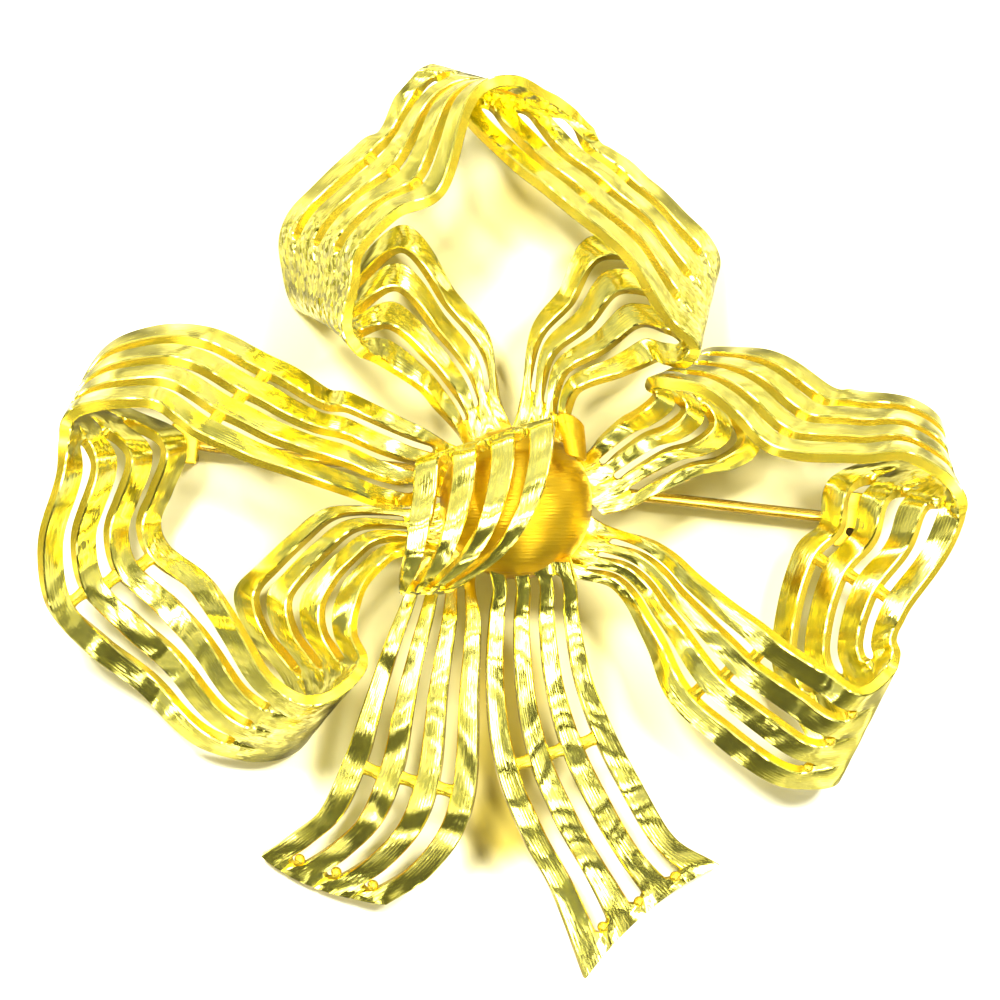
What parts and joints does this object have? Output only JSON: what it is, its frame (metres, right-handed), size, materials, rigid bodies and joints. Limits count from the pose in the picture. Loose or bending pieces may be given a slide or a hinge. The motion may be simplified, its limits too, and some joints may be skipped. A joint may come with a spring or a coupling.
{
  "type": "bow brooch",
  "caption": "Openwork ribbon bow brooch with folded loops, two tails and a ribbon knot on a domed hub, and a hinged pin stem with its catch behind.",
  "frame": {"origin": "on the surface that the brooch lies on, under the middle of the square in which the bow is laid out", "axes": "+Z out of the brooch's front, +X to the right and +Y towards the upper loop, seen from the front"},
  "size_m": [0.0691, 0.0691, 0.0141],
  "materials": {
    "gold": "polished gold tone, finely engraved"
  },
  "bodies": {
    "bow": {"hub": "gold", "loop_top": "gold", "loop_left": "gold", "loop_right": "gold", "tail_left": "gold", "tail_right": "gold", "knot_band": "gold", "knot_curl": "gold", "hinge_block": "gold", "catch_hook": "gold"},
    "stem": {"pin_stem": "gold"}
  },
  "joints": [
    {"name": "pin_hinge", "type": "hinge", "parent": "bow", "child": "stem", "pos_m": [0.02651, -0.0015, 0.0015], "axis": [-0.1139, -0.9935, 0], "range_deg": [0, 70]}
  ]
}
